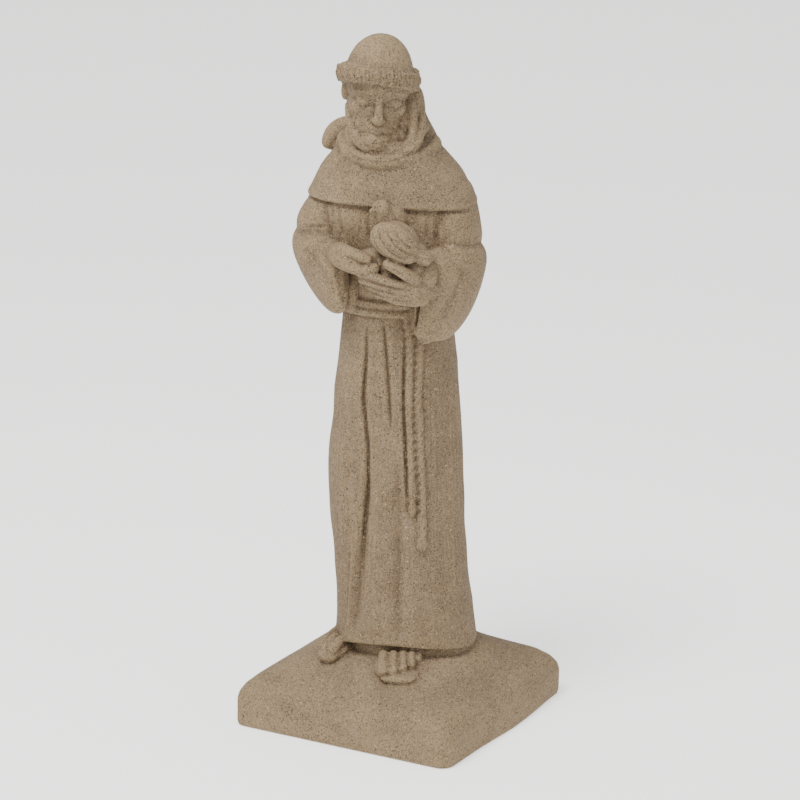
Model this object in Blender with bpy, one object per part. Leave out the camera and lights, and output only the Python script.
# Garden statue of a standing friar with a dove, one hollow moulding with its square base.
# Forms are drawn in millimetres in the figure's own frame: x to the figure's left, f to its
# front and z up from the underside. Shapes are fused, smoothed, creased and then thinned.
import bpy
import bmesh
import math
import numpy as np
from mathutils import Matrix, Vector
from mathutils.bvhtree import BVHTree

HEIGHT = 0.533
BASE_SIDE = 0.187
BASE_EDGE_HEIGHT = 0.020
BASE_CROWN_HEIGHT = 0.0585
BASE_CORNER_RADIUS = 0.010
BASE_MOUND = 0.0085
FIGURE_TURN = math.radians(17.0)
HEAD_TURN = math.radians(17.0)
HEAD_BOW = math.radians(15.0)
HEAD_LEAN = math.radians(5.0)
VOXEL = 0.0014
TRIANGLES = 9400

MM = HEIGHT / 533.0
STONE = (0.36, 0.27, 0.19, 1.0)

for old in list(bpy.data.objects):
    bpy.data.objects.remove(old, do_unlink=True)


def smooth_keys(keys, count):
    """Rows of key values passed through by a smooth curve, count samples along it."""
    keys = np.array(keys, float)
    step = np.linalg.norm(np.diff(keys[:, :3], axis=0), axis=1) + 1e-6
    t = np.concatenate([[0.0], np.cumsum(step)])
    slope = np.zeros_like(keys)
    slope[1:-1] = (keys[2:] - keys[:-2]) / (t[2:] - t[:-2])[:, None]
    slope[0] = (keys[1] - keys[0]) / step[0]
    slope[-1] = (keys[-1] - keys[-2]) / step[-1]
    s = np.linspace(0.0, t[-1], count)
    i = np.clip(np.searchsorted(t, s, side="right") - 1, 0, len(keys) - 2)
    h = step[i][:, None]
    u = ((s - t[i]) / step[i])[:, None]
    a = (1 + 2 * u) * (1 - u) ** 2 * keys[i] + u * (1 - u) ** 2 * h * slope[i]
    b = u * u * (3 - 2 * u) * keys[i + 1] + u * u * (u - 1) * h * slope[i + 1]
    return a + b


def skin(rings):
    """Closed mesh over a stack of rings, all of them with the same number of points."""
    rings = np.array(rings, float)
    m, n = rings.shape[:2]
    bm = bmesh.new()
    verts = [[bm.verts.new(p) for p in ring] for ring in rings]
    for i in range(m - 1):
        for j in range(n):
            k = (j + 1) % n
            bm.faces.new((verts[i][j], verts[i][k], verts[i + 1][k], verts[i + 1][j]))
    bm.faces.new(list(reversed(verts[0])))
    bm.faces.new(verts[-1])
    bmesh.ops.recalc_face_normals(bm, faces=bm.faces)
    return bm


def draw(x, f, z):
    """Drawing coordinates to the mesh's own x, y, z."""
    return np.stack([x, -np.asarray(f, float), z], axis=-1)


def stack(keys, count=60, power=2.2, around=96, front_lift=0.0, side_drop=0.0):
    """Upright form. Keys are z, centre x, centre f, half width, front depth, back depth. The rings can
    rise towards the front and drop towards the figure's left side."""
    rings = []
    angle = np.linspace(0.0, 2 * math.pi, around, endpoint=False)
    c, s = np.cos(angle), np.sin(angle)
    for z, cx, cf, a, bf, bb in smooth_keys(keys, count):
        r = (np.abs(c) ** power + np.abs(s) ** power) ** (-1.0 / power)
        depth = np.where(s > 0, bf, bb)
        rise = front_lift * np.clip(s, 0, 1) ** 2 - side_drop * a * c
        rings.append(draw(cx + a * r * c, cf + depth * r * s, z + rise))
    return skin(rings)


def tube(keys, side=(1.0, 0.0, 0.0), count=40, around=28, round_ends=True):
    """Form along a path. Keys are x, f, z, half width along side, half width across it."""
    rows = smooth_keys(keys, count)
    path = draw(rows[:, 0], rows[:, 1], rows[:, 2])
    tangent = np.gradient(path, axis=0)
    tangent /= np.linalg.norm(tangent, axis=1)[:, None] + 1e-12
    lead = draw(*side)
    if round_ends:
        reach = np.minimum(rows[:, 3], rows[:, 4])
        away = np.concatenate([[0.0], np.cumsum(np.linalg.norm(np.diff(path, axis=0), axis=1))])
        near = np.minimum(away / reach[0], (away[-1] - away) / reach[-1])
        cap = np.sqrt(np.clip(1 - (1 - np.clip(near, 0.0, 1.0)) ** 2, 0.01, 1.0))
    else:
        cap = np.ones(count)
    angle = np.linspace(0.0, 2 * math.pi, around, endpoint=False)
    rings = []
    for p, t, row, k in zip(path, tangent, rows, cap):
        u = lead - t * np.dot(lead, t)
        u /= np.linalg.norm(u)
        v = np.cross(t, u)
        ring = p + k * (np.cos(angle)[:, None] * row[3] * u + np.sin(angle)[:, None] * row[4] * v)
        rings.append(ring)
    return skin(rings)


def ball(x, f, z, rx, rf, rz, turn=0.0, bow=0.0, lean=0.0):
    """Ellipsoid. Turn is about z, bow tips it forwards and lean rolls it about f."""
    bm = bmesh.new()
    bmesh.ops.create_uvsphere(bm, u_segments=28, v_segments=18, radius=1.0)
    size = Matrix.Diagonal((rx, rf, rz, 1.0))
    spin = Matrix.Rotation(turn, 4, "Z") @ Matrix.Rotation(bow, 4, "X") @ Matrix.Rotation(lean, 4, "Y")
    bm.transform(Matrix.Translation(Vector(draw(x, f, z))) @ spin @ size)
    return bm


def base_slab():
    """Pillow-topped square slab, kept square to the frame while the figure is turned."""
    half = BASE_SIDE / MM / 2
    edge = BASE_EDGE_HEIGHT / MM
    crown = BASE_CROWN_HEIGHT / MM
    corner = BASE_CORNER_RADIUS / MM
    rows = [(0.0, 1.2, 1.0), (1.2, 0.2, 1.0), (2.5, 0.0, 1.0), (edge, 0.0, 1.1), (edge + 5, 1.0, 1.2),
            (edge + 10, 3.6, 1.5), (edge + 14.5, 8.0, 2.0), (edge + 18, 14.0, 2.6)]
    lift = crown - edge - 18
    for share in (0.08, 0.16, 0.24, 0.32, 0.4, 0.5, 0.6, 0.7, 0.8, 0.9, 0.96):
        rows.append((crown - lift * (1 - share) ** 2.2, 14 + share * (half - 14), 2.6 + 4 * share))
    rings = []
    for z, inset, soft in rows:
        s = half - inset
        r = min(corner * soft, s * 0.98)
        ring = []
        for k, (sx, sy) in enumerate(((1, 1), (-1, 1), (-1, -1), (1, -1))):
            for q in np.linspace(0.0, math.pi / 2, 10):
                a = k * math.pi / 2 + q
                ring.append((sx * (s - r) + r * math.cos(a), sy * (s - r) + r * math.sin(a), z))
            nx, ny = ((-1, 1), (-1, -1), (1, -1), (1, 1))[k]
            ax, ay = sx * (s - r) + r * math.cos(a), sy * (s - r) + r * math.sin(a)
            bx, by = nx * (s - r) + r * math.cos(a), ny * (s - r) + r * math.sin(a)
            for w in np.linspace(0.0, 1.0, 12)[1:-1]:
                ring.append((ax + (bx - ax) * w, ay + (by - ay) * w, z))
        rings.append(ring)
    rings = np.array(rings)
    x, y, z = rings[..., 0].copy(), rings[..., 1], rings[..., 2]
    low = np.clip(1 - z / 34.0, 0, 1)
    belly = 2.8 * np.exp(-((y - 8) / 34.0) ** 2) - 2.2 * np.exp(-((y - 80) / 20.0) ** 2)
    rings[..., 0] += np.sign(x) * low * belly
    rings[..., 1] += np.where(y < 0, 1.2 * x / 90.0, 0.0)
    mound = np.exp(-(((x - 20) / 62.0) ** 2 + ((y - 2) / 54.0) ** 2) ** 2.5)
    rings[..., 2] += BASE_MOUND / MM * mound * np.clip((z - 32) / 14, 0, 1)
    bm = skin(rings)
    bm.transform(Matrix.Rotation(-FIGURE_TURN, 4, "Z"))
    return bm


ROBE = [(40, 4.6, 1, 54, 46, 42), (62, 4.4, 1, 53.6, 48, 43), (80, 4.0, 1, 52.0, 46.5, 42),
        (99, 2.8, 1, 51.6, 45, 41),
        (118, 1.2, 1, 51.6, 44.5, 40), (138, 0, 1, 51.7, 44.5, 39), (157, -1.9, 1, 52, 44.5, 38.5),
        (176, -2.6, 1, 52.6, 44.5, 38), (196, -3.2, 1, 52.4, 44, 38), (215, -2.8, 1, 51.5, 43, 38),
        (234, -2, 1, 49.8, 42, 37.5), (253, -1.9, 1, 48.2, 41.5, 37), (272, -1.9, 1, 45.9, 40.5, 36),
        (290, -1.9, 1, 43.5, 39.5, 35), (309, -2, 1, 41.5, 38.5, 34), (326, -2, 1, 40.2, 38, 33)]
ROBE_POWER = 2.3
BELT_BANDS = (326.6, 333.4)


def robe_front(x, z):
    """How far forward the robe's skirt lies at a place across and up."""
    keys = np.array(ROBE, float)
    cx, cf, a, bf = (np.interp(z, keys[:, 0], keys[:, k]) for k in (1, 2, 3, 4))
    away = min(abs((x - cx) / a), 0.97)
    return cf + bf * (1 - away ** ROBE_POWER) ** (1 / ROBE_POWER)


def robe_shapes():
    skirt = [row for row in ROBE if row[0] > 60]
    skirt[0] = (60, 4.5, 1, 53.9, 48.5, 43)
    yield stack(skirt, 90, ROBE_POWER, front_lift=9.0)
    yield stack([(36, 8, -1, 49, 45, 42), (68, 8, -1, 48.6, 44.6, 41.6), (90, 6, -1, 44, 38, 36)], 20)
    yield stack([(322, -2, 1, 40.2, 38, 33), (328, -2, 1, 40.4, 38.3, 33.2), (335, -2.2, 1, 41.2, 39, 34),
                 (341, -2.4, 1, 43.2, 41.5, 35), (352, -3, 1, 43.6, 42, 35.5),
                 (364, -3.8, 1, 44.6, 42.6, 35.5),
                 (372, -4.3, 1, 46, 42.8, 35.5)], 50, 2.3)
    yield stack([(360, -3.5, 1, 42, 40.5, 35), (372, -4.3, 1, 46, 42.6, 36),
                 (385, -5, 0.5, 48.5, 43.4, 37.5), (402, -5.8, 0, 52, 43.8, 39),
                 (420, -6.5, 0, 46, 36, 31)], 30, 2.9)
    yield stack([(366, -7, 0, 44, 29, 30), (378, -7, 0, 50, 36.5, 30), (402, -6.5, 0, 55, 39, 36),
                 (415, -6.5, 0, 50, 34, 33)], 24, 3.2)
    for z in BELT_BANDS:
        yield stack([(z - 3.3, -2, 1, 39.6, 37.4, 32.6), (z - 2.5, -2, 1, 42.8, 41.0, 35.4),
                     (z, -2, 1, 43.6, 41.9, 36.2),
                     (z + 2.5, -2, 1, 43.0, 41.2, 35.6), (z + 3.3, -2, 1, 39.8, 37.6, 32.8)], 17, 2.3)


def cape_shapes():
    yield stack([(405.4, -6.1, 0, 62.4, 46.2, 42), (407.0, -6.1, 0, 63.2, 46.9, 42.6),
                 (412, -6.2, 0, 60.6, 45.5, 41.5),
                 (420, -6.4, 0, 56.6, 44.0, 39.5), (429, -6.5, 0, 51.8, 42.5, 36.5),
                 (438, -6.8, 1, 44.6, 41, 33),
                 (446, -7, 2, 37.5, 39.5, 29), (454, -8, 4, 30, 35, 25)], 50, 2.25,
                front_lift=3.4, side_drop=0.03)
    yield tube([(-8, -21, 476, 14, 8), (-7, -30, 460, 19.5, 9.5), (-6, -35, 440, 24, 10),
                (-5, -40, 418, 20, 8),
                (-5, -44, 397, 11, 5.6), (-5, -45, 384, 3.4, 3)])
    for side in (-1, 1):
        yield tube([(-7 + side * 21.5, -18, 454, 4, 4), (-6 + side * 21.5, -34, 440, 4.2, 4.4),
                    (-5.5 + side * 15.5, -44, 415, 4, 4),
                    (-5 + side * 7, -49, 395, 3.4, 3.6), (-5, -49, 383, 2.8, 3)])


def hood_shapes():
    yield stack([(425, -6, -8, 41, 30, 30), (440, -5, -8, 33.5, 34, 28), (450, -4.5, -8, 29.5, 35, 27),
                 (464, -6.6, -6, 24.6, 33, 26), (481, -9.8, -4, 22.2, 27, 23), (493, -12, -2, 18, 20, 19),
                 (502, -12.5, 0, 12, 8, 12)], 40, 2.2)
    outer = []
    inner = []
    for k in range(33):
        a = 2 * math.pi * k / 32
        c, s = math.cos(a), math.sin(a)
        front = max(s, 0)
        outer.append((-9 + (33 + 3 * max(c, 0)) * c, 6 + 35.6 * s, 447.8 - 4.6 * front - 1.6 * c, 5.9, 4.6))
        inner.append((-9 + 27.5 * c, 7 + 31.6 * s, 457.0 - 8.4 * front + 3 * max(c, 0), 3.6, 3.6))
    yield tube(outer, (0, 0, 1), 96, 16, False)
    yield tube(inner, (0, 0, 1), 96, 16, False)
    yield tube([(9, 34, 450, 3.4, 4), (15, 30, 458, 3.4, 4.4), (15.5, 26, 469, 3.2, 4.6),
                (12.5, 20, 484, 3.0, 4.2), (8, 14, 496, 3, 4)])
    yield tube([(8, 37, 447, 3.0, 4), (17.5, 31, 453, 3.2, 4.4), (20.5, 22, 463, 3.0, 4.6),
                (17.4, 10, 477, 3.0, 4.6), (12, 2, 490, 3, 4)])
    yield tube([(-31, -4, 455, 7, 7), (-42, -8, 454.8, 8.2, 8), (-50.5, -10, 450.2, 8.6, 8.2),
                (-54.8, -10, 442.5, 7.4, 7.8),
                (-54.6, -9, 436, 5.2, 6.4)], (0, 1, 0))
    yield tube([(-35, 2, 446, 6, 6), (-43, -4, 441, 6.0, 7), (-50, -7, 435, 5.6, 7)], (0, 1, 0))


HEAD_PLACE = (-11.5, 23.0, 494.0)


def head_frame():
    move = Matrix.Translation(Vector(draw(*HEAD_PLACE)))
    turn = Matrix.Rotation(HEAD_TURN, 4, "Z")
    return move @ turn @ Matrix.Rotation(HEAD_LEAN, 4, "Y") @ Matrix.Rotation(HEAD_BOW, 4, "X")


def in_head(bm):
    bm.transform(head_frame())
    return bm


def fringe(a):
    """Middle of the hair round the shaved crown at an angle, its half height and half thickness."""
    c, s = math.cos(a), math.sin(a)
    front = max(s, 0)
    back = max(-s, 0)
    z = 499.8 - 2.2 * c + 8.8 * front ** 0.9 - 3.5 * back
    tall = 8.0 - 1.8 * front ** 2 + 4.0 * back
    thick = 6.8 - 1.0 * front ** 2
    return -12.0 + 23.6 * c, 21 + (28.8 + 0.8 * front ** 2) * s, z, tall, thick


def head_shapes():
    yield in_head(ball(0, -2, 8.2, 25.0, 29.0, 31.0))
    yield in_head(ball(0, 4, -10, 22.0, 22.6, 24))
    yield in_head(ball(0, 10, -20, 18.6, 17.5, 17))
    yield in_head(ball(0, 20, -31, 12.5, 12.5, 10.5))
    yield in_head(tube([(-19.5, 15.8, 4.2, 1.4, 1.8), (-12, 22.0, 6.9, 1.6, 1.8), (-4, 24.2, 7.0, 1.6, 1.7),
                        (4, 24.2, 7.0, 1.6, 1.7),
                        (12, 22.0, 6.9, 1.6, 1.8), (19.5, 15.8, 4.2, 1.4, 1.8)], (0, 0, 1)))
    yield in_head(tube([(0, 24.2, 7, 2.6, 2.2), (0, 26.0, 1, 2.5, 2.8), (0, 29.4, -7, 3.2, 3.6),
                        (0, 31.0, -11.8, 3.9, 3.6),
                        (0, 28.0, -15.2, 3.8, 2.4)]))
    yield in_head(ball(0, 23.6, -22.5, 9.0, 5.2, 7.2))
    for side in (-1, 1):
        yield in_head(ball(side * 12.6, 15.0, -8.5, 8.0, 7.4, 7.0))
        yield in_head(ball(side * 23.4, -2, -5, 3.2, 5.5, 8.5))
        yield in_head(ball(side * 10.6, 19.5, -1.4, 6.0, 5.2, 4.2))
        yield in_head(ball(side * 3.5, 27.6, -13.0, 2.4, 2.8, 2.3))
        yield in_head(tube([(side * 0.3, 27.6, -18.8, 1.8, 2.2), (side * 5.5, 26.0, -20.6, 2.0, 2.4),
                            (side * 10.5, 21.8, -24.4, 1.9, 2.4),
                            (side * 12.6, 19.0, -29, 2.0, 2.6)], (0, 0, 1)))
        yield in_head(tube([(side * 20.4, 3, -12, 3, 3.6), (side * 17.4, 13, -24, 4.4, 4.8),
                            (side * 10.0, 22.5, -33.5, 5.6, 5.4),
                            (0, 26.0, -36.0, 5.8, 5.6)]))
    yield in_head(ball(0, 27.4, -25.9, 4.9, 2.0, 1.5))
    yield stack([(430, -8, 6, 25, 25, 24), (448, -9, 8, 21, 22, 22), (470, -11, 12, 19, 20, 20)], 20)
    yield ball(8, 10, 468, 9, 20, 28)
    yield ball(6, 22, 455, 8, 11, 13)
    yield ball(14, 10, 471, 6.4, 13.6, 22)
    ring = [fringe(2 * math.pi * k / 48) for k in range(49)]
    yield tube(ring, (0, 0, 1), 96, 20, False)
    seat = [(-12 + (x + 12) * 0.84, 21 + (f - 21) * 0.84, z + 2.6, tall * 0.8, thick)
            for x, f, z, tall, thick in ring]
    yield tube(seat, (0, 0, 1), 96, 20, False)
    yield in_head(ball(0, -12, -6, 23, 20, 22))


RIGHT_SLEEVE = [(-55, -18, 370, 10, 9), (-56.5, -10, 366, 21, 20), (-56.5, 0, 363, 26.5, 25),
                (-53, 14, 358, 29.0, 22.6),
                (-46.6, 28, 352.5, 28.8, 17.2), (-40, 40, 352, 27.5, 11.5), (-34.5, 46, 353.5, 24.5, 6.6)]
LEFT_SLEEVE = [(41, -18, 366, 10, 9), (42, -10, 361, 23, 20), (42, 0, 355, 31, 22.6),
               (41, 14, 347, 37, 21.6),
               (38, 28, 343, 37.5, 17), (31.5, 39, 344, 34.5, 12), (26, 45.5, 345.5, 31.5, 6.6)]


def cupped(keys, wall, deep):
    """Sleeve keys that turn in at the open end and go back inside by a given depth."""
    end = np.array(keys[-1], float)
    before = np.array(keys[-3], float)
    back = (before - end)[:3]
    back /= np.linalg.norm(back)
    lip = end.copy()
    lip[:3] -= back * 1.0
    lip[3:] -= wall * 0.45
    inside = lip.copy()
    inside[3:] -= wall * 0.75
    floor = end.copy()
    floor[:3] += back * deep
    floor[3:] -= wall * 1.3
    return lip, inside, floor


def sleeve(keys, wall=3.6, deep=9.0):
    outer = smooth_keys(keys, 40)
    extra = cupped(keys, wall, deep)
    rows = np.vstack([outer] + [e[None, :] for e in extra])
    path = draw(rows[:, 0], rows[:, 1], rows[:, 2])
    tangent = np.gradient(path[:40], axis=0)
    tangent /= np.linalg.norm(tangent, axis=1)[:, None]
    tangent = np.vstack([tangent, np.repeat(tangent[-1:], 3, axis=0)])
    angle = np.linspace(0.0, 2 * math.pi, 40, endpoint=False)
    away = np.concatenate([[0.0], np.cumsum(np.linalg.norm(np.diff(path[:40], axis=0), axis=1))])
    cap = np.ones(len(rows))
    cap[:40] = np.sqrt(np.clip(1 - (1 - np.clip(away / 10.0, 0.0, 1.0)) ** 2, 0.02, 1.0))
    rings = []
    for p, t, row, k in zip(path, tangent, rows, cap):
        up = np.array([0.0, 0.0, 1.0])
        up = up - t * np.dot(up, t)
        up /= np.linalg.norm(up)
        across = np.cross(t, up)
        narrow = 1 + 0.24 * np.cos(angle)[:, None]
        wide = np.sin(angle)[:, None] * narrow * row[4]
        rings.append(p + k * (np.cos(angle)[:, None] * row[3] * up + wide * across))
    return skin(rings)


def arm_shapes():
    yield tube([(-40, 0, 426, 14, 20), (-44, 1, 412, 20.6, 29), (-48.6, 1, 396, 22.0, 32),
                (-55.5, 1, 379, 24.4, 30.5),
                (-56.5, 4, 362, 22.6, 26)])
    yield tube([(29, 0, 426, 14, 20), (32.5, 1, 412, 21, 29), (36, 1, 396, 22.2, 32),
                (39.4, 1, 376, 22.4, 30.5),
                (42.5, 4, 358, 22, 26)])
    yield ball(-49, 18.5, 388, 9, 15, 14)
    yield ball(36.5, 19.5, 388, 7.5, 15.5, 15)
    yield tube([(-38, 36, 366, 5, 6), (-36.6, 40.5, 353, 5.4, 5), (-34.6, 40.5, 339, 5.2, 5),
                (-34, 34, 326, 4, 4)])
    yield tube([(-35.6, 42.5, 366, 3, 3), (-35.2, 44.2, 357, 3.6, 3.4), (-34.6, 45.4, 347, 3.6, 3.4),
                (-34, 46.2, 337, 3, 3)])
    yield sleeve(RIGHT_SLEEVE)
    yield sleeve(LEFT_SLEEVE)
    yield tube([(-50, 16, 366, 10, 10), (-40, 38, 370, 8.6, 9), (-33, 52, 372.5, 7, 9)])
    yield tube([(42, 16, 352, 11, 11), (36, 36, 350, 9, 10.5), (28, 52, 351.5, 7.5, 10.5)])
    yield tube([(-29, 29, 358, 6, 5), (-27.6, 37, 346, 5, 4.6), (-28.6, 36.5, 333, 4.8, 4.4),
                (-30.5, 31, 324, 4.0, 4.0)])
    yield tube([(19, 33, 338, 6, 5), (21, 38, 328, 5.5, 4.6), (24, 38, 316, 6, 5), (31, 34, 306, 7, 6)])


def hand_shapes():
    yield tube([(-38, 44, 373.5, 8, 8), (-31, 55, 373.0, 8.6, 9.4), (-22, 60, 371.4, 8.0, 9.0),
                (-12, 60.5, 369.6, 6.6, 7.6),
                (-4, 59.5, 369.4, 4.6, 5.6)], (0, 1, 0))
    yield tube([(-34, 54, 377.0, 5.0, 5.2), (-25, 62.4, 377.6, 5.0, 5.4), (-15, 65.2, 375.6, 4.6, 4.8),
                (-6.5, 64.4, 373, 3.6, 3.8)], (0, 1, 0))
    yield tube([(-31, 58, 370.0, 5.0, 5.2), (-21, 64.2, 368.0, 5.2, 5.2), (-10, 65.6, 367.2, 4.8, 4.6),
                (-1, 62.8, 368.6, 3.6, 3.4)], (0, 1, 0))
    yield tube([(33, 46, 351, 8.5, 11.0), (24, 55, 350.5, 9.6, 12.2), (14, 58.5, 351.6, 9.0, 11.2),
                (2, 59, 354.5, 7.4, 9.2),
                (-8, 58, 357.5, 5.4, 6.6)], (0, 1, 0))
    for drop, tip, lift in ((0.0, -19.5, 5.4), (4.9, -17.5, 4.8), (9.4, -11.5, 4.2), (13.2, -5.5, 2.6)):
        yield tube([(24, 60.6 - drop * 0.12, 356 - drop, 4.2, 3.4),
                    (12, 64.4 - drop * 0.15, 357.3 - drop, 4.3, 3.3),
                    (tip + 9, 65.0 - drop * 0.2, 357.5 - drop + lift, 4.0, 3.1),
                    (tip, 60 - drop * 0.2, 357.5 - drop + lift, 3.2, 2.4)],
                   (0, 1, 0))
    yield ball(31, 50, 361, 8, 10, 12)
    yield tube([(28, 58, 358, 5.2, 5.2), (18, 65.4, 366.2, 4.6, 4.6), (9, 67.2, 371.2, 4.0, 4.0),
                (2.5, 66.4, 374, 3.2, 3.2)], (0, 1, 0))
    yield ball(-2, 46, 368, 24, 15, 10)
    yield ball(22, 54.5, 367, 10, 8.5, 7.5)


def bird_shapes():
    yield ball(8.5, 56, 388, 18.5, 14.5, 14.0, lean=math.radians(16))
    yield tube([(-4, 58, 399, 9, 9), (2, 62, 393, 12.0, 10.0), (12, 64, 387.5, 12.6, 9.6),
                (21, 62, 381, 9.5, 8.0), (27, 59, 377.5, 5.5, 6.0)],
               (0, 0, 1))
    yield tube([(6, 48, 396, 9.5, 9.5), (0, 50, 402, 8.4, 8.8), (-2.4, 52, 409, 6.8, 7.4),
                (-3.6, 53.5, 416.4, 6.2, 6.6)])
    yield tube([(-6, 59, 411.4, 2.6, 2.4), (-9.2, 62, 408.6, 1.2, 1.1)])
    yield tube([(20, 56, 384, 8, 10), (29, 57, 377.5, 5.8, 9.0), (37, 57, 374.0, 4.6, 8.0)], (0, 0, 1))
    yield ball(4, 42, 398, 12, 12, 15)


CORD_ONE = [(12.6, 329), (15.0, 314), (15.9, 300), (15.7, 262), (17.5, 224), (18.6, 193), (18.6, 174.5)]
CORD_TWO = [(16.6, 328), (21.6, 316), (22.9, 303), (22.5, 262), (24.3, 224), (26.2, 185), (26.4, 147)]


def cord_backing():
    """Low flat ground that the two hanging cords lie on."""
    keys = []
    for z in np.linspace(318, 182, 12):
        x = (np.interp(-z, [-row[1] for row in CORD_ONE], [row[0] for row in CORD_ONE])
             + np.interp(-z, [-row[1] for row in CORD_TWO], [row[0] for row in CORD_TWO])) / 2
        keys.append((x, robe_front(x, z) - 1.0, z, 5.6, 2.4))
    return tube(keys, (1, 0, 0), 40, 16)


def cord_shapes():
    yield cord_backing()
    for line, fat in ((CORD_ONE, ((269, 10, 0.6), (196, 12, 0.7))),
                      (CORD_TWO, ((246, 9, 0.5), (166, 6, 1.1)))):
        keys = []
        for x, z in smooth_keys([(x, 0.0, z) for x, z in line], 40)[:, (0, 2)]:
            more = sum(k * math.exp(-((z - at) / wide) ** 2) for at, wide, k in fat)
            keys.append((x, robe_front(x, z) + 0.9, z, 3.3 + more, 2.6 + 0.6 * more))
        yield tube(keys, (1, 0, 0), 60, 16)


LEFT_TOES = [(2.6, 70.5, 53.6, 4.0), (10.2, 69.5, 53.8, 3.5), (16.8, 65.0, 54.6, 3.2),
             (22.0, 58.0, 55.8, 2.9), (25.4, 50.0, 57.2, 2.6)]


def foot_shapes():
    yield tube([(-1, 12, 57, 14, 6), (3, 32, 55.5, 15.2, 6.0), (8.4, 50, 53.0, 16.6, 4.4),
                (12.4, 62, 51.0, 15.0, 3.2), (13.0, 72, 49.2, 11.0, 2.6)])
    yield tube([(-2, 8, 66, 10, 12), (3, 26, 63, 12.0, 9), (7, 42, 59.5, 12.4, 6)])
    for x, f, z, w in LEFT_TOES:
        yield tube([(x - 5.0, f - 24, z + 9.0, w, 3.4), (x - 2.2, f - 10, z + 5.0, w, 3.6),
                    (x, f - 1, z, w, 3.1)])
    yield tube([(-32, -6, 58, 9, 6), (-36.0, 14, 59.0, 10.6, 6.0), (-43.0, 31, 56.8, 10.4, 5.0),
                (-49.6, 47.5, 52.4, 6.8, 4.0)])
    for x, f, w in ((-44.6, 44.0, 4.4), (-50.6, 42.5, 3.5), (-54.8, 37.0, 3.1)):
        yield tube([(x + 11, f - 26, 65, w, 5.0), (x + 4.6, f - 11, 62.2, w, 4.4), (x, f, 57.0, w, 3.4)])
    yield ball(-48.0, -10, 60.5, 2.4, 5, 3.4)


def catmull(points, step=1.6):
    points = np.array(points, float)
    pad = np.zeros((len(points), 3))
    pad[:, :points.shape[1]] = points
    length = np.linalg.norm(np.diff(pad, axis=0), axis=1).sum()
    return smooth_keys(pad, max(int(length / step), 6))[:, :points.shape[1]]


def dropped(tree, points, way):
    """Smooth line laid on the surface from the front, the back, or one side."""
    line = []
    for a, z in catmull(points):
        if way in ("front", "back"):
            sign = 1 if way == "front" else -1
            start, aim = draw(a, 300 * sign, z), Vector((0, sign, 0))
        else:
            sign = 1 if way == "left" else -1
            start, aim = draw(300 * sign, a, z), Vector((-sign, 0, 0))
        hit = tree.ray_cast(Vector(start), aim)[0]
        if hit is not None:
            line.append(tuple(hit))
    return np.array(line)


def press(verts, normals, line, width, depth, kind="groove", fade=0.25):
    """Push vertices near a line along their normals: in for a groove, out for a ridge."""
    if len(line) < 2:
        return
    reach = width * 3.0
    near = np.all((verts > line.min(0) - reach) & (verts < line.max(0) + reach), axis=1)
    index = np.nonzero(near)[0]
    along = np.linspace(0.0, 1.0, len(line))
    ends = np.sin(np.clip(np.minimum(along, 1 - along) / max(fade, 1e-3), 0, 1) * math.pi / 2)
    tangent = np.gradient(line, axis=0)
    tangent /= np.linalg.norm(tangent, axis=1)[:, None] + 1e-9
    for part in np.array_split(index, max(1, len(index) // 4000)):
        if not len(part):
            continue
        p, n = verts[part], normals[part]
        gap = p[:, None, :] - line[None, :, :]
        pick = np.argmin((gap ** 2).sum(2), axis=1)
        rows = np.arange(len(part))
        away = gap[rows, pick]
        lift = (away * n).sum(1)
        flat = away - lift[:, None] * n
        dist = np.linalg.norm(flat, axis=1)
        side = np.sign((np.cross(tangent[pick], n) * away).sum(1))
        ok = (np.abs(lift) < 10) & (dist < reach)
        shape = np.exp(-(dist / width) ** 2)
        if kind == "knife":
            shape = np.clip(1 - dist / (1.6 * width), 0, 1) ** 1.3
        if kind == "ridge":
            shape = -shape
        if kind == "step":
            shape = np.where(side > 0, np.exp(-(dist / width)), -0.3 * np.exp(-(dist / width) ** 2))
        verts[part] -= np.where(ok, depth * ends[pick] * shape, 0.0)[:, None] * n


def surface(obj):
    mesh = obj.data
    verts = np.empty(len(mesh.vertices) * 3)
    mesh.vertices.foreach_get("co", verts)
    normals = np.empty(len(mesh.vertices) * 3)
    mesh.vertex_normals.foreach_get("vector", normals)
    return verts.reshape(-1, 3), normals.reshape(-1, 3)


def strokes(obj, rows):
    """Carve every stroke of a list, wide ones first in the order given."""
    for way, width, depth, kind, points in rows:
        mesh = obj.data
        tree = BVHTree.FromPolygons([v.co for v in mesh.vertices], [p.vertices for p in mesh.polygons])
        verts, normals = surface(obj)
        press(verts, normals, dropped(tree, points, way), width, depth, kind)
        mesh.vertices.foreach_set("co", verts.ravel())
        mesh.update()


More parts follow.
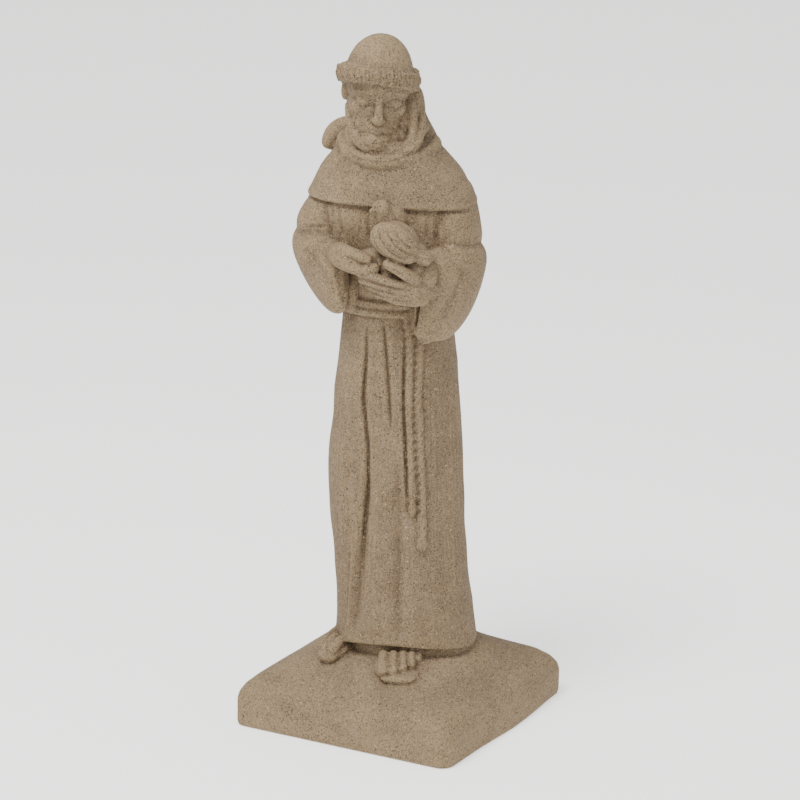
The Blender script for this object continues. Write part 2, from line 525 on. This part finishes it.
DRAPERY = [
    ("front", 5.0, 3.6, "groove", [(-14.5, 205), (-17, 175), (-20.5, 140), (-24.5, 105), (-28, 72)]),
    ("front", 1.9, 3.0, "groove", [(-17.6, 322), (-17.4, 294), (-19.2, 262), (-18.4, 250), (-15.6, 226),
                                   (-15.1, 209), (-15.6, 192),
                                   (-18.6, 164), (-20.8, 137), (-22.6, 118)]),
    ("front", 1.7, 1.9, "groove", [(-4.4, 323), (-2.8, 307), (-0.2, 278), (1.2, 258), (2.7, 236)]),
    ("front", 5.6, 3.4, "groove", [(6.5, 215), (7.7, 184), (8.4, 152), (8.3, 120), (8.1, 72)]),
    ("front", 7.0, 1.8, "groove", [(38, 250), (40, 200), (41, 150), (43, 90)]),
    ("front", 8.0, 1.4, "ridge", [(-34, 236), (-37, 205), (-36, 170), (-34, 130)]),
    ("front", 2.6, 1.5, "ridge", [(-26.8, 146), (-29.6, 112), (-32.4, 76)]),
    ("front", 6.0, 1.4, "ridge", [(-8.4, 170), (-8.3, 130), (-8.8, 78)]),
    ("front", 1.2, 1.6, "groove", [(11.8, 300), (11.6, 262), (13.4, 224), (14.6, 193), (14.8, 176)]),
    ("back", 8.0, 4.4, "groove", [(-22, 316), (-25, 220), (-27, 140), (-28, 72)]),
    ("back", 8.0, 4.4, "groove", [(4, 318), (3, 230), (4, 150), (5, 72)]),
    ("back", 8.0, 4.0, "groove", [(27, 312), (31, 210), (34, 130), (36, 72)]),
    ("left", 8.0, 3.0, "groove", [(-8, 280), (-10, 200), (-12, 90)]),
    ("right", 8.0, 3.0, "groove", [(-10, 290), (-12, 200), (-14, 90)]),
    ("right", 6.0, 2.0, "groove", [(14, 260), (14, 180), (12, 90)]),
    ("front", 2.4, 1.4, "groove", [(-49, 405), (-47, 392), (-43, 382)]),
    ("front", 2.0, 1.6, "groove", [(-68, 385), (-58, 387), (-48, 388)]),
    ("front", 2.2, 1.4, "groove", [(35.4, 405), (35, 392), (35.6, 382)]),
    ("front", 1.8, 1.2, "groove", [(-38, 408), (-36, 394), (-34, 384)]),
    ("front", 1.8, 1.2, "groove", [(-15, 408), (-14, 394), (-13, 382)]),
    ("front", 1.5, 1.3, "groove", [(-68, 405.6), (-61, 406.9), (-55, 407.2), (-48, 407.4), (-41, 407.4)]),
    ("front", 1.5, 1.3, "groove", [(32, 405.2), (40, 404.6), (50, 403.4), (56, 402.2)]),
]


def fused(forms, voxel):
    """All forms as one closed skin of even quads."""
    mesh = bpy.data.meshes.new("statue")
    whole = bmesh.new()
    for bm in forms:
        piece = bpy.data.meshes.new("form")
        bm.to_mesh(piece)
        whole.from_mesh(piece)
        bm.free()
        bpy.data.meshes.remove(piece)
    whole.to_mesh(mesh)
    whole.free()
    obj = bpy.data.objects.new("statue", mesh)
    bpy.context.scene.collection.objects.link(obj)
    fuse = obj.modifiers.new("fuse", "REMESH")
    fuse.mode = "VOXEL"
    fuse.voxel_size = voxel
    fuse.adaptivity = 0.0
    settle = obj.modifiers.new("settle", "SMOOTH")
    settle.factor = 0.5
    settle.iterations = 3
    apply_modifiers(obj)
    return obj


def apply_modifiers(obj):
    graph = bpy.context.evaluated_depsgraph_get()
    done = bpy.data.meshes.new_from_object(obj.evaluated_get(graph))
    obj.modifiers.clear()
    stale = obj.data
    obj.data = done
    bpy.data.meshes.remove(stale)


def flatten_underside(obj):
    """Bed the statue on its underside: the lowest skin is level at zero."""
    verts = surface(obj)[0]
    low = verts[:, 2] < 1.2
    verts[low, 2] = 0.0
    obj.data.vertices.foreach_set("co", verts.ravel())
    obj.data.update()


forms = [base_slab()]
for family in (robe_shapes, cape_shapes, hood_shapes, head_shapes, arm_shapes, hand_shapes, bird_shapes,
               cord_shapes, foot_shapes):
    forms.extend(family())
statue = fused(forms, VOXEL / MM)
strokes(statue, DRAPERY)
flatten_underside(statue)
thin = statue.modifiers.new("thin", "DECIMATE")
thin.decimate_type = "COLLAPSE"
statue.data.calc_loop_triangles()
thin.ratio = TRIANGLES / len(statue.data.loop_triangles)
thin.use_collapse_triangulate = True
apply_modifiers(statue)

# Turn the figure to its place on the base, bring the drawing to metres and set its full height.
statue.data.transform(Matrix.Rotation(FIGURE_TURN, 4, "Z"))
verts = surface(statue)[0]
verts[verts[:, 2] < 0.6, 2] = 0.0
verts *= MM
verts[:, 0] -= (verts[:, 0].max() + verts[:, 0].min()) / 2
verts[:, 1] -= (verts[:, 1].max() + verts[:, 1].min()) / 2
statue.data.vertices.foreach_set("co", verts.ravel())
statue.data.update()

stone = bpy.data.materials.new("speckled moulded stone resin")
stone.use_nodes = True
shader = stone.node_tree.nodes["Principled BSDF"]
shader.inputs["Base Color"].default_value = STONE
shader.inputs["Roughness"].default_value = 0.85
shader.inputs["Metallic"].default_value = 0.0
statue.data.materials.clear()
statue.data.materials.append(stone)
